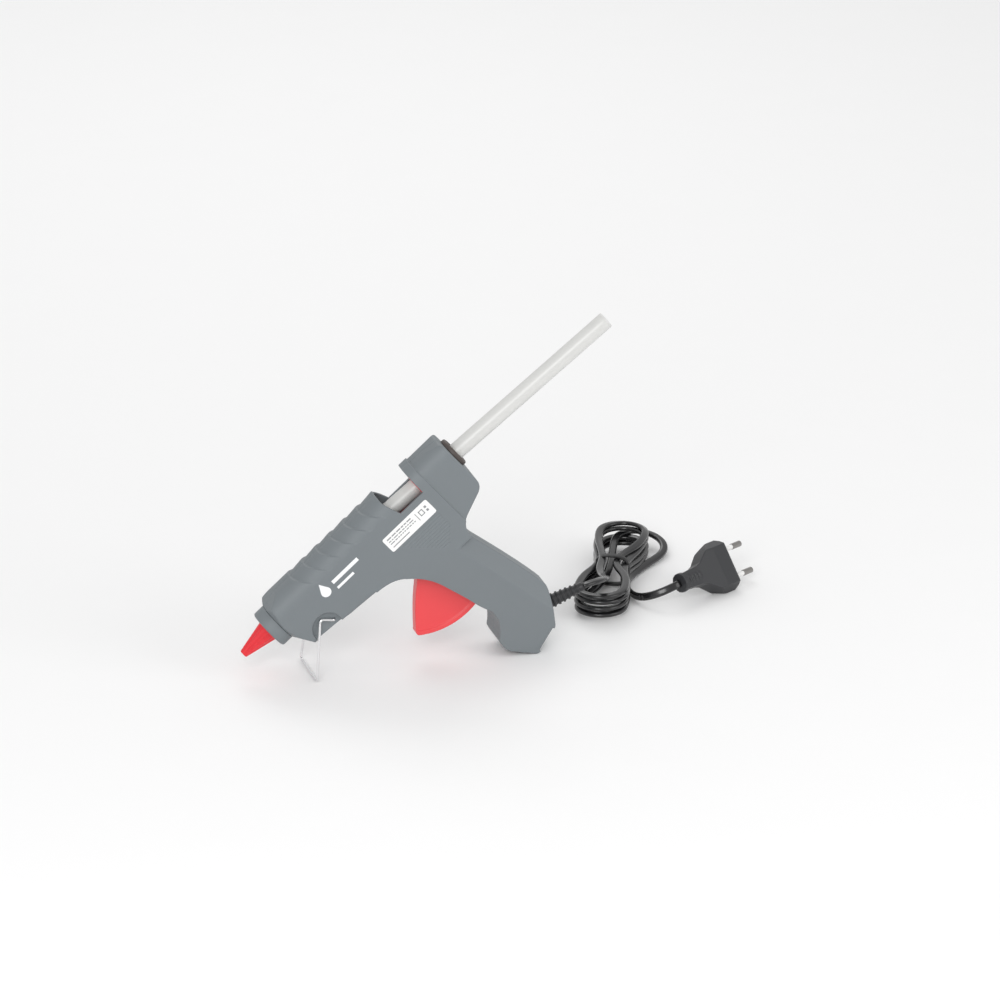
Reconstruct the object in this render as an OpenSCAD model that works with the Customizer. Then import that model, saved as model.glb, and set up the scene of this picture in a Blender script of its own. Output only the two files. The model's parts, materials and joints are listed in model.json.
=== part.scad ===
// Hot glue gun: two housing halves, heated chamber, trigger feed, wire stand, mains lead.
// Gun frame: x runs back from the nozzle's tip, y across (y < 0 is the left side), z up.
// It stands on its wire stand and the handle's foot, with the nozzle down.

/* [Glue stick] */
// Diameter of the glue stick
stick_d = 11.2; // [9:0.1:14]
// Length of the glue stick
stick_len = 200; // [150:5:250]
// Droop of the stick against the barrel, in degrees
stick_tilt = 2.9; // [2:0.1:3.5]

/* [Barrel] */
// Width of the housing
barrel_w = 30; // [26:0.5:38]
// Height of the barrel's top above the nozzle's axis
barrel_top = 17.4; // [15:0.2:22]
// Wall of the housing
wall = 2.2; // [1.6:0.1:3]
// Outer diameter of the nose ring
ring_d = 27; // [24:0.5:32]
// Length of the nozzle that stands out of the nose ring
nozzle_len = 22; // [18:0.5:28]
// Diameter of the nozzle cover at its root
nozzle_d = 15; // [13:0.5:17]
// Depth of the gills in the barrel's top
gill_depth = 1.3; // [0.5:0.1:1.4]

/* [Trigger] */
// Thickness of the trigger
trigger_t = 9.5; // [7:0.5:12]
// Radius of the trigger's lower edge about its pin
trigger_r = 50; // [46:0.5:51]
// Diameter of the trigger's pin
pin_d = 4; // [3:0.5:5]
// Turn of the trigger when it is squeezed
pull = 25; // [15:1:25]

/* [Stand] */
// Diameter of the stand's wire
wire_d = 1.8; // [1.4:0.1:2.4]
// Width of the stand, between wire centres
stand_w = 40; // [36:1:50]

/* [Heater] */
// Outer diameter of the melt chamber
chamber_d = 18; // [16:0.5:20]
// Length of the heater pill
pill_len = 24; // [18:1:30]

/* [Mains lead] */
// Width of the flat flex
flex_w = 5.2; // [4.5:0.1:6]
// Thickness of the flat flex
flex_t = 3.2; // [2.8:0.1:4]
// Diameter of a plug pin
plug_pin_d = 4; // [4:0.1:4.8]
// Width of the plug's body
plug_w = 35.3; // [34:0.1:38]

/* [Hidden] */
$fn = 64;

half = barrel_w / 2;
running = 0.05;        // radial running clearance of a pin
slide_gap = 0.4;       // side clearance of a sliding or swinging plate
seat_gap = 0.05;       // clearance of parts that only sit in each other
far = 300;

// Barrel and handle outline, in the gun frame
ring_u0 = nozzle_len;
ring_u1 = ring_u0 + 8.3;
nose_u = ring_u1;                  // the halves start behind the nose ring
window_u0 = 130;
window_u1 = 153.5;
window_sill = 1.5;
flange_u1 = 160;                   // end of the high rear flange
rear_u = 183;                      // rear face
pivot = [119, -37];                // trigger pin
foot_r = 3;                        // round of the foot's lowest corner
foot = [133.2, -135.2];            // its centre
stand_bar = [21.9, -40.2];         // centre of the stand's ground bar
stand_pin = [57, -20.5];           // where the stand's ends enter the housing

// Rest tilt: one line touches the stand's bar and the foot from below
span = norm(foot - stand_bar);
nose_down = atan2(stand_bar.y - foot.y, foot.x - stand_bar.x)
            + asin((foot_r - wire_d / 2) / span);

// Glue stick
stick_r = stick_d / 2;
stick_u0 = 112;                    // its front end at rest
stick_v0 = 2.72;
function stick_v(u) = stick_v0 - (u - stick_u0) * tan(stick_tilt);
stick_end = [stick_u0 + stick_len * cos(stick_tilt), stick_v0 - stick_len * sin(stick_tilt)];

// The origin is under the middle of the gun, on the table
function world_x(u, v) = u * cos(nose_down) - v * sin(nose_down);
function world_z(u, v) = u * sin(nose_down) + v * cos(nose_down);
nozzle_tip_r = 2.65;
low_x = -nozzle_tip_r * sin(nose_down);
high_x = world_x(stick_end.x, stick_end.y) + stick_r * sin(nose_down - stick_tilt);
tip_x = -(low_x + high_x) / 2;
tip_z = wire_d / 2 - world_z(stand_bar.x, stand_bar.y);

module in_gun() { translate([tip_x, 0, tip_z]) rotate([0, -nose_down, 0]) children(); }
module across(w) { rotate([90, 0, 0]) linear_extrude(w, center = true) children(); }
module along(len) { rotate([90, 0, 90]) linear_extrude(len) children(); }
module rod_u(u0, u1, r, v = 0) { translate([u0, 0, v]) rotate([0, 90, 0]) cylinder(r = r, h = u1 - u0); }
module rod_w(u, v, w0, w1, r) { translate([u, w1, v]) rotate([90, 0, 0]) cylinder(r = r, h = w1 - w0); }
module plate(u0, u1, w0, w1, v0, v1) { translate([u0, w0, v0]) cube([u1 - u0, w1 - w0, v1 - v0]); }
module on_stick(u) { translate([u, 0, stick_v(u)]) rotate([0, 90 + stick_tilt, 0]) children(); }

// A quadratic curve from a to c, pulled towards b
function curve(a, b, c, n) =
    [for (i = [0:n]) let (t = i / n) (1 - t) * (1 - t) * a + 2 * t * (1 - t) * b + t * t * c];
function arc(c, r, a0, a1, n) =
    [for (i = [0:n]) let (t = a0 + (a1 - a0) * i / n) c + r * [cos(t), sin(t)]];
function unit(p) = p / norm(p);
// The same outline moved inwards by d; the points run clockwise
function inset(p, d) = let (n = len(p)) [for (i = [0:n - 1])
    let (e = unit(p[i] - p[(i + n - 1) % n]), f = unit(p[(i + 1) % n] - p[i]),
         a = [e.y, -e.x], b = [f.y, -f.x])
    p[i] + d * (a + b) / (1 + a * b)];

outline = concat(
    [[nose_u, barrel_top - 4.3], [42, barrel_top], [flange_u1 + 1, barrel_top]],
    curve([rear_u - 3.6, barrel_top - 2.3], [rear_u, barrel_top - 2.5], [rear_u, barrel_top - 6], 4),
    curve([rear_u, -18], [rear_u, -23.5], [178.5, -25.8], 5),
    curve([163, -32.2], [154.5, -36], [155.2, -47], 6),
    curve([155.6, -52], [163.8, -88], [165.9, -106], 5),
    curve([166.2, -109.5], [166.2, -111.5], [163, -116.6], 3),
    curve([153, -131.4], [152, -133], [149.5, -133.6], 3),
    arc(foot, foot_r, -73, -130, 5),
    curve([121.4, -124.2], [118.4, -120.5], [119.6, -115], 4),
    curve([120.4, -112], [130.6, -104], [130.2, -94], 6),
    curve([129.8, -92], [126.8, -84.5], [125.6, -76], 4),
    curve([120.4, -56], [117.4, -45], [109.9, -37.2], 6),
    curve([106, -33.2], [100, -27.6], [88, -26.9], 6),
    [[66, -25.7], [64.5, -24.4], [42, -22.6], [nose_u, -22]]);

// Cross-section of the barrel: half-width h, round shoulders of radius r, floor at bot
module section(h, top, r, bot) {
    translate([-h, bot]) square([2 * h, top - r - bot]);
    translate([r - h, bot]) square([2 * (h - r), top - bot]);
    for (s = [-1, 1]) translate([s * (h - r), top - r]) circle(r);
}
shoulder_r = 12;
flare_r = 13.6;                    // radius of the nose flare where it starts
flare = 1.6;                       // its growth per millimetre
rear_in = 1.0;                     // the rear box is this much slimmer than the flange
handle_lean = 10.5;                // lean of the handle's rear chamfer
grip_at = [150, -50];              // a point on the handle's middle line
grip_rear = 6.3;                   // rear face behind that line
rear_flat = 7;                     // half-width of the rear face
grip_half = half - 0.05;           // the handle is a hair slimmer than the barrel

module handle_section(d) {
    k = d * 0.5;
    polygon([[-70, d - grip_half], [-70, grip_half - d], [-5 - k, grip_half - d], [grip_rear - d, rear_flat - k],
             [grip_rear - d, k - rear_flat], [-5 - k, d - grip_half]]);
}
// The shape of barrel, rear box and handle, d inside the outer surface
module mass(d) {
    intersection() {
        across(far) polygon(d == 0 ? outline : inset(outline, d));
        union() {
            intersection() {
                along(flange_u1 - d) section(half - d, barrel_top - d, shoulder_r - d, -45);
                translate([nose_u - 0.01, 0, 0]) rotate([0, 90, 0])
                    cylinder(h = 200, r1 = flare_r - d, r2 = flare_r - d + 200 * flare);
            }
            translate([flange_u1 - 5, 0, 0]) along(40)
                section(half - rear_in - d, barrel_top - 1.4 - d, shoulder_r - 2 - d, -45);
            translate([grip_at.x, 0, grip_at.y]) rotate([0, -handle_lean, 0])
                translate([0, 0, -100]) linear_extrude(130) handle_section(d);
        }
    }
}

// Rounds both side edges of a lower face that runs from a to b
module edge_rounds(a, b, r) {
    len = norm(b - a);
    for (s = [-1, 1]) translate([a.x, 0, a.y]) rotate([0, -atan2(b.y - a.y, b.x - a.x), 0])
        difference() {
            translate([0, s * (half - r / 2) - r / 2 - (s > 0 ? 0 : 1), -1]) cube([len, r + 1, r + 1]);
            translate([-1, s * (half - r), r]) rotate([0, 90, 0]) cylinder(r = r, h = len + 2);
        }
}

// Gills: between two ridges the barrel's top is cut along a slightly sunk copy of itself
gill_u0 = 55.5;
gill_pitch = 11.9;
gill_slant = 5;                    // the ridges run back this far down the shoulder
module gill_cut(i) {
    u = gill_u0 + i * gill_pitch;
    sink = atan2(gill_depth, gill_pitch);
    difference() {
        across(2 * half + 2) polygon([[u - 0.5, barrel_top + 3], [u, barrel_top + 0.2],
            [u + gill_slant * 2, barrel_top - 10], [u + gill_pitch + gill_slant * 2, barrel_top - 10],
            [u + gill_pitch, barrel_top + 0.2], [u + gill_pitch, barrel_top + 3]]);
        translate([u + gill_pitch, 0, 0.15]) rotate([0, -sink, 0]) translate([-30, 0, 0])
            along(45) section(half + 0.1, barrel_top, shoulder_r + 1.5, -20);
    }
}

// Ribbed patch on each side, above the handle
rib_pitch = 2;
rib_gap = 1.0;
rib_depth = 0.5;
patch_top = -15.2;
patch_apex = [140, -39];
module patch_cuts() {
    for (i = [0:10]) let (v = patch_top - 1 - i * rib_pitch, t = (v - patch_top) / (patch_apex.y - patch_top))
        for (s = [-1, 1])
            plate(119.5 + t * (patch_apex.x - 119.5), min(151.5, 151.5 - (t - 0.5) * 22),
                  s * half - rib_depth, s * half + rib_depth, v - rib_gap, v);
}

// Stand recess, on both sides of the barrel's underside
recess_at = [50.6, -20.6];
recess_r = 10.2;
recess_depth = 2.6;
stand_hole_depth = 4;
leg_w = half - 1.3;                // wire centre inside the recess

// Screws, from the right side
screws = [[70, -20.4], [100, -21.6], [172, -17], [145.5, -58], [133, -118]];
screw_r = 1.4;
boss_r = 3.3;
head_r = 2.9;
head_depth = 3;

cavity_front = ring_u0 + 3;
boot_at = [156.9, -123.3];         // where the cord's axis crosses the housing
boot_dir = -21;                    // its angle in the gun frame
module on_boot(s) {
    translate([boot_at.x, 0, boot_at.y]) rotate([0, -boot_dir, 0]) translate([s, 0, 0]) rotate([0, 90, 0]) children();
}
neck_r = 4.6;                      // hole for the boot's neck
slot_w = trigger_t + 2 * slide_gap;

module housing_outer() {
    difference() {
        mass(0);
        edge_rounds([30, -22.2], [88, -26.9], 2.5);
        edge_rounds([134.3, -138.1], [150.5, -133.3], 4);
        for (i = [0:5]) gill_cut(i);
        patch_cuts();
        across(far) polygon([[window_u0, 40], [window_u0, 14], [134.3, window_sill],
                             [window_u1, window_sill], [window_u1, 40]]);
        for (s = [-1, 1]) difference() {
            translate([recess_at.x, s * half, recess_at.y]) rotate([90, 0, 0])
                cylinder(r = recess_r, h = 2 * recess_depth, center = true);
            plate(30, 70, -half - 9, half + 9, -8.5, 0);
        }
    }
}
// Where the stand's recess comes through the wall, the wall steps inwards with it
module recess_wall() {
    for (s = [-1, 1]) translate([recess_at.x, s * (half - recess_depth - wall / 2), recess_at.y])
        rotate([90, 0, 0]) cylinder(r = recess_r + wall, h = wall, center = true);
}
module housing_holes() {
    // front mouth for the chamber and its nozzle
    rod_u(nose_u - 1, nose_u + 14, flare_r - wall);
    // rear hole for the stick guide
    rod_u(rear_u - wall - 2, rear_u + 1, guide_r, 0);
    // slot for the trigger: barrel underside and handle front
    intersection() {
        plate(100, 150, -slot_w / 2, slot_w / 2, -100, -28);
        rod_w(pivot.x, pivot.y, -20, 20, trigger_r + 1);
    }
    rod_w(pivot.x, pivot.y, -hub_w / 2 - slide_gap, hub_w / 2 + slide_gap, hub_r + slide_gap);
    on_boot(-20) cylinder(r = neck_r, h = 40);
    on_boot(-0.6) cylinder(r = boot_flange_r + 0.1, h = 12);
    for (s = [-1, 1]) rod_w(stand_pin.x, stand_pin.y, s > 0 ? half - recess_depth - stand_hole_depth : -half,
        s > 0 ? half : recess_depth + stand_hole_depth - half, wire_d / 2 + running);
}
guide_r = 9.6;
boot_flange_r = 6.35;

// Ribs that hold the chamber supports, the carriage rail and the cord clamp
module inner_ribs() {
    for (u = [support_u0[0], support_u0[1]], e = [-1.6, support_t + 0.1])
        difference() {
            plate(u + e, u + e + 1.5, -half, half, -14, 10);
            plate(u - 3, u + 6, wall + 3 - half, half - wall - 3, -15, 11);
        }
    for (s = [-1, 1])
        plate(131, 162, s > 0 ? rail_w : -half + 1, s > 0 ? half - 1 : -rail_w, -3.2, -1.3);
}
support_u0 = [35, 86];
support_t = 2.4;
rail_w = half - wall - 2;

module bosses() {
    for (p = screws) rod_w(p.x, p.y, -half + 0.5, half - 0.5, boss_r);
    difference() {
        rod_w(pivot.x, pivot.y, 1 - half, half - 1, pin_d / 2 + pin_wall);
        rod_w(pivot.x, pivot.y, -hub_w / 2 - slide_gap, hub_w / 2 + slide_gap, hub_r);
    }
    for (s = [-1, 1]) rod_w(stand_pin.x, stand_pin.y, s > 0 ? half - 8.2 : 1.5 - half, s > 0 ? half - 1.5 : 8.2 - half, 3);
}
hub_r = 5.5;
hub_w = 12;
pin_wall = 1.2;                    // wall of the bosses that hold the trigger's pin

module housing() {
    difference() {
        intersection() {
            union() {
                difference() { mass(0); mass(wall); }
                intersection() { union() { recess_wall(); bosses(); inner_ribs(); } mass(wall / 2); }
            }
            housing_outer();
        }
        housing_holes();
    }
    // spigot that the nose ring sits on
    difference() {
        rod_u(cavity_front, nose_u + 1, spigot_r);
        rod_u(cavity_front - 1, nose_u + 2, flare_r - wall);
    }
}
spigot_r = ring_d / 2 - 1.4;

screw_pilot_r = 1.1;
screw_end = 3.5;                   // the pilot holes end this far inside the left side
module housing_left() {
    color("slategray") in_gun() difference() {
        intersection() { housing(); plate(0, 250, -60, 0, -200, 60); }
        for (p = screws) rod_w(p.x, p.y, screw_end - half, 1, screw_pilot_r);
        rod_w(pivot.x, pivot.y, 3 - half, 0, pin_d / 2);
    }
}
module housing_right() {
    color("slategray") in_gun() difference() {
        intersection() { housing(); plate(0, 250, 0, 60, -200, 60); }
        for (p = screws) {
            rod_w(p.x, p.y, -1, half + 1, screw_r + 0.1);
            rod_w(p.x, p.y, half - head_depth, half + 1, head_r + 0.2);
        }
        rod_w(pivot.x, pivot.y, 0, half - 3, pin_d / 2);
    }
}
module housing_screws() {
    color("silver") in_gun() for (p = screws) difference() {
        union() {
            rod_w(p.x, p.y, 0, half - head_depth, screw_r);
            rod_w(p.x, p.y, 5 - half, 0, screw_pilot_r);
            rod_w(p.x, p.y, half - head_depth, half - head_depth + 2, head_r);
        }
        for (a = [0, 90]) translate([p.x, half - head_depth + 2, p.y]) rotate([0, a, 0])
            cube([3.4, 2, 0.7], center = true);
    }
}

nozzle_r = nozzle_d / 2;
module nose_ring() {
    color("dimgray") in_gun() difference() {
        union() {
            rod_u(ring_u0 + 1, ring_u1, ring_d / 2);
            translate([ring_u0, 0, 0]) rotate([0, 90, 0]) cylinder(r1 = ring_d / 2 - 1, r2 = ring_d / 2, h = 1);
        }
        rod_u(cavity_front, ring_u1 + 1, spigot_r + seat_gap);
        rod_u(ring_u0 - 1, ring_u1, nozzle_r + 0.3);
    }
}

// Nozzle: a brass core in a ribbed heat-guard cover
cover_ribs = 10;
cover_u1 = ring_u0 + 2;
brass_r = 4.6;
module nozzle_cover() {
    color("crimson") in_gun() difference() {
        union() {
            rotate([0, 90, 0]) cylinder(r1 = nozzle_tip_r - 0.4, r2 = nozzle_r - 0.6, h = ring_u0);
            rod_u(ring_u0, cover_u1, nozzle_r);
            intersection() {
                rotate([0, 90, 0]) cylinder(r1 = nozzle_tip_r, r2 = nozzle_r, h = ring_u0);
                for (i = [0:cover_ribs / 2 - 1]) rotate([i * 360 / cover_ribs, 0, 0])
                    plate(0, ring_u0, -0.7, 0.7, -nozzle_r, nozzle_r);
            }
        }
        translate([-0.5, 0, 0]) rotate([0, 90, 0]) cylinder(r1 = 1.6, r2 = brass_r + seat_gap, h = ring_u0 - 1);
        rod_u(ring_u0 - 1.6, cover_u1 + 1, brass_r + seat_gap);
    }
}
chamber_u0 = 27;
seat_u = 30.5;                     // the ball's seat in the chamber's front
valve_r = 3.1;
module nozzle_tip() {
    color("goldenrod") in_gun() difference() {
        union() {
            translate([0.5, 0, 0]) rotate([0, 90, 0]) cylinder(r1 = 1.6, r2 = brass_r - 0.25, h = ring_u0 - 3);
            rod_u(ring_u0 - 3, chamber_u0, brass_r - 0.25);
            rod_u(chamber_u0 - 1, seat_u, valve_r + 0.9);
        }
        rod_u(-1, 5, 0.9);
        rod_u(4.5, 17.1, 1.7);
        rod_u(17, seat_u + 1, valve_r);
    }
}
ball_r = 2.5;
exit_r = 1.9;
ball_u = seat_u - sqrt(ball_r * ball_r - exit_r * exit_r) - 0.02;
ball_travel = 0.8;
module check_ball() { color("silver") in_gun() translate([ball_u, 0, 0]) sphere(ball_r); }

// A round wire along a list of points, with a fixed number of sides
function side_of(t) = let (s = abs(t.z) < 0.9 ? cross([0, 0, 1], t) : cross([1, 0, 0], t)) unit(s);
module sweep(path, w, h, sides) {
    n = len(path);
    points = [for (i = [0:n - 1])
        let (t = unit(path[min(i + 1, n - 1)] - path[max(i - 1, 0)]), s = side_of(t), q = cross(t, s))
        for (k = [0:sides - 1]) let (a = 360 * k / sides) path[i] + s * cos(a) * w / 2 + q * sin(a) * h / 2];
    faces = concat([[for (k = [0:sides - 1]) k]],
        [for (i = [0:n - 2], k = [0:sides - 1]) let (m = (k + 1) % sides)
            [i * sides + k, (i + 1) * sides + k, (i + 1) * sides + m, i * sides + m]],
        [[for (k = [sides - 1:-1:0]) (n - 1) * sides + k]]);
    polyhedron(points, faces, convexity = 8);
}
function coil(r, len, turns, steps) =
    [for (i = [0:turns * steps]) let (a = 360 * i / steps) [r * cos(a), r * sin(a), len * i / (turns * steps)]];
spring_wire = 0.5;
module check_spring() {
    u1 = ball_u - 1.65;
    color("silver") in_gun() translate([18.2, 0, 0]) rotate([0, 90, 0])
        sweep(coil(2.3, u1 - 18.2, 5, 12), spring_wire, spring_wire, 6);
}

// Heated chamber
chamber_r = chamber_d / 2;
chamber_u1 = 98;
spigot_u = 91;
pocket = [50, 50 + pill_len + 6];   // heater pocket, open at its rear
pocket_w = 6.4;
pocket_v = [-chamber_r - 4.6, -chamber_r - 0.4];
module melt_chamber() {
    color("lightgray") in_gun() difference() {
        union() {
            rod_u(chamber_u0, spigot_u, chamber_r);
            rod_u(spigot_u, chamber_u1, chamber_r - 1.2);
            plate(pocket[0] - 2, pocket[1], -pocket_w - 1.4, pocket_w + 1.4, pocket_v[0] - 1.4, -2);
        }
        rod_u(chamber_u0 - 1, seat_u, valve_r + 0.9 + seat_gap);
        rod_u(seat_u - 1, 36, exit_r);
        translate([34, 0, 0]) rotate([0, 90, 0]) cylinder(r1 = 2.5, r2 = stick_r + 0.5, h = 50);
        rod_u(83.9, chamber_u1 + 1, stick_r + 0.5);
        plate(pocket[0], pocket[1] + 1, -pocket_w, pocket_w, pocket_v[0], pocket_v[1]);
    }
}
wrap_t = 0.3;
electrode_t = 0.4;
pill_u0 = pocket[0] + 2;
pill_v = (pocket_v[0] + pocket_v[1]) / 2;
pill_t = pocket_v[1] - pocket_v[0] - 2 * (wrap_t + electrode_t + 2 * seat_gap);
pill_w = pocket_w - wrap_t - seat_gap - 0.3;
module heater_pill() {
    color("dimgray") in_gun() plate(pill_u0, pill_u0 + pill_len, -pill_w, pill_w, pill_v - pill_t / 2, pill_v + pill_t / 2);
}
module electrode(s) {
    v = pill_v + s * (pill_t + electrode_t) / 2;
    plate(pill_u0, pill_u0 + pill_len + 7, -4, 4, v - electrode_t / 2, v + electrode_t / 2);
    plate(pill_u0 + pill_len + 7, crimp_u + 2.8, s * 3 - 1, s * 3 + 1, v - electrode_t / 2, v + electrode_t / 2);
}
module electrode_live() { color("goldenrod") in_gun() electrode(1); }
module electrode_neutral() { color("goldenrod") in_gun() electrode(-1); }
module heater_wrap() {
    color("darkorange") in_gun() difference() {
        plate(pocket[0] + 0.5, pocket[1] + 2, seat_gap - pocket_w, pocket_w - seat_gap,
              pocket_v[0] + seat_gap, pocket_v[1] - seat_gap);
        plate(pocket[0], pocket[1] + 3, wrap_t + seat_gap - pocket_w, pocket_w - seat_gap - wrap_t,
              pocket_v[0] + seat_gap + wrap_t, pocket_v[1] - seat_gap - wrap_t);
    }
}
clip_t = 0.6;
module heater_clip() {
    w = pocket_w + 1.4 + clip_t;
    v = pocket_v[0] - 1.4;
    color("silver") in_gun() difference() {
        union() {
            plate(60, 68, -w, w, v - clip_t, 0);
            rod_u(60, 68, chamber_r + clip_t);
        }
        rod_u(59, 69, chamber_r);
        plate(59, 69, clip_t - w, w - clip_t, v, 1);
        plate(59, 69, -20, 20, 6, 20);
    }
}

// Sleeve that guides the stick into the chamber; it follows the stick's droop
sleeve_u = [spigot_u + 1, chamber_u1, 108, 118.5];
module inlet_sleeve() {
    color("firebrick") in_gun() difference() {
        union() {
            rod_u(sleeve_u[0], sleeve_u[1] + 0.2, chamber_r + 0.4);
            hull() {
                rod_u(sleeve_u[1] - 0.6, sleeve_u[1], chamber_r + 0.1);
                on_stick(sleeve_u[2]) cylinder(r = stick_r + 2.4, h = 10);
            }
        }
        rod_u(sleeve_u[0] - 1, sleeve_u[1] + 0.1, chamber_r - 1.2 + seat_gap);
        hull() {
            rod_u(sleeve_u[1], sleeve_u[1] + 0.1, chamber_r - 2);
            on_stick(sleeve_u[2]) cylinder(r = stick_r + 1, h = 0.1);
        }
        on_stick(sleeve_u[1] + 2.2) cylinder(r = stick_r + 0.12, h = 26);
    }
}
module sleeve_clamp() {
    color("silver") in_gun() difference() {
        rod_u(93.2, 96.4, chamber_r + 1.1);
        rod_u(93, 97, chamber_r + 0.4 + seat_gap);
    }
}
module support(u) {
    difference() {
        // a plate with shoulders that follow the housing's inside
        intersection() {
            plate(u, u + support_t, -half, half, -chamber_r - 4.4, barrel_top - wall - 4.6);
            translate([u - 1, 0, 0]) along(support_t + 2)
                section(half - wall - 0.6, barrel_top - wall - 0.6, shoulder_r - wall - 0.6, -40);
        }
        rod_u(u - 1, u + support_t + 1, chamber_r + seat_gap);
        // window for the heater's leads
        plate(u - 1, u + support_t + 1, -5, 5, -30, pocket_v[1] + 0.5);
    }
}
module support_front() { color("saddlebrown") in_gun() support(support_u0[0]); }
module support_rear() { color("saddlebrown") in_gun() support(support_u0[1]); }

module glue_stick() { color("gainsboro") in_gun() on_stick(stick_u0) cylinder(r = stick_r, h = stick_len); }
module stick_guide() {
    color("darkslategray") in_gun() difference() {
        union() {
            rod_u(rear_u - wall - 0.8, rear_u, guide_r - seat_gap);
            rod_u(rear_u, rear_u + 3.7, guide_r + 1.15);
            translate([rear_u + 3.7, 0, 0]) rotate([0, 90, 0]) cylinder(r1 = guide_r + 1.15, r2 = guide_r + 0.35, h = 0.8);
        }
        rod_u(rear_u - 5, rear_u + 5, stick_r + 1.6, -0.7);
    }
}

// Feed carriage: a ring round the stick, with two lugs that the trigger's drive pin pushes
carriage_u = [152.8, 157.4];
carriage_v = 0.8;
carriage_r = stick_r + 3.6;
lug_w = trigger_t / 2 + slide_gap;
lug_t = 2.2;
lug_v = [-15.6, -7.2];
arm = 26;
arm_rest = 90 - pull / 2;
drive_r = 1.5;
drive_at = pivot + arm * [cos(arm_rest), sin(arm_rest)];
drive_high = pivot.y + arm;
slot_play = 0.15;
jaw_pin_at = [137, -12];
jaw_pin_r = 1.2;
module feed_carriage() {
    color("firebrick") in_gun() difference() {
        union() {
            rod_u(carriage_u[0], carriage_u[1], carriage_r, carriage_v);
            plate(carriage_u[0], carriage_u[1], -rail_w - 1.4, rail_w + 1.4, -1.2, 1);
            for (s = [-1, 1]) plate(drive_at.x - 4.5, carriage_u[1], min(s * lug_w, s * (lug_w + lug_t)),
                max(s * lug_w, s * (lug_w + lug_t)), lug_v[0], lug_v[1]);
            plate(carriage_u[0] + 1, carriage_u[1], -lug_w - lug_t, lug_w + lug_t, lug_v[0], -6);
        }
        rod_u(carriage_u[0] - 1, carriage_u[1] + 1, stick_r + 0.95, carriage_v);
        for (s = [-1, 1]) {
            plate(drive_at.x - drive_r - slot_play, drive_at.x + drive_r + slot_play, -20, 20,
                  drive_at.y - slot_play, drive_high + slot_play);
            for (v = [drive_at.y - slot_play, drive_high + slot_play])
                rod_w(drive_at.x, v, -20, 20, drive_r + slot_play);
        }
        rod_w(jaw_pin_at.x, jaw_pin_at.y, -20, 20, jaw_pin_r);
    }
}
jaw_w = lug_w - 0.5;
jaw_lift = 0.35;                   // gap between jaw and stick at rest
module grip_jaw() {
    top = stick_v(145) - stick_r - jaw_lift - 0.3;
    color("silver") in_gun() difference() {
        union() {
            rod_w(jaw_pin_at.x, jaw_pin_at.y, -jaw_w, jaw_w, 2.6);
            across(2 * jaw_w) polygon([jaw_pin_at + [-1, 2], [143.2, top - 0.1], [143.9, top - 0.9], [144.6, top],
                [145.3, top - 0.9], [146, top - 0.1], [146.6, top - 3], jaw_pin_at + [1, -2.2]]);
        }
        rod_w(jaw_pin_at.x, jaw_pin_at.y, -20, 20, jaw_pin_r + running);
    }
}
module jaw_pin() {
    color("silver") in_gun() rod_w(jaw_pin_at.x, jaw_pin_at.y, -lug_w - lug_t, lug_w + lug_t, jaw_pin_r);
}
module drive_pin() {
    color("silver") in_gun() rod_w(drive_at.x, drive_at.y, -lug_w - lug_t - 0.3, lug_w + lug_t + 0.3, drive_r);
}

// Trigger: a thick plate that swings into the handle; its lower edge is round about its pin
trigger_tip = 228;                 // directions from the pin, in degrees
trigger_back = 283;
rim = 3;
function about_pin(r, a) = pivot + r * [cos(a), sin(a)];
trigger_front = curve([108.4, -48], about_pin(30, 224), about_pin(trigger_r - 1.2, trigger_tip - 0.8), 8);
trigger_outline = concat([[115, -41.5]], trigger_front,
    arc(pivot, trigger_r, trigger_tip + 0.7, trigger_back, 14), [[122.5, -41]]);
module trigger() {
    color("red") in_gun() difference() {
        union() {
            across(trigger_t) polygon(trigger_outline);
            rod_w(pivot.x, pivot.y, -hub_w / 2, hub_w / 2, hub_r);
            across(trigger_t) polygon([pivot + [-4, 3], drive_at + [-3.4, -1], drive_at + [-2, 2.6],
                drive_at + [2, 2.6], drive_at + [3.4, -1], pivot + [5, 2]]);
        }
        for (s = [-1, 1]) translate([0, s * trigger_t / 2, 0]) across(2) intersection() {
            polygon(inset(trigger_outline, rim));
            translate([pivot.x, pivot.y]) difference() { circle(trigger_r - rim); circle(10); }
        }
        rod_w(pivot.x, pivot.y, -20, 20, pin_d / 2 + running);
        rod_w(drive_at.x, drive_at.y, -20, 20, drive_r);
    }
}
module trigger_pin() { color("silver") in_gun() rod_w(pivot.x, pivot.y, 3.2 - half, half - 3.2, pin_d / 2); }
module trigger_spring() {
    r = pin_d / 2 + pin_wall + 0.6;
    w1 = half - wall - 0.6;
    w0 = hub_w / 2 + slide_gap + 0.8;
    color("silver") in_gun() translate([pivot.x, w0, pivot.y]) rotate([-90, 0, 0]) {
        sweep(coil(r, w1 - w0 - 0.4, 4, 16), 0.8, 0.8, 6);
        translate([r, 0, 0]) rotate([90, 0, 0]) cylinder(r = 0.4, h = 9);
    }
}

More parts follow.
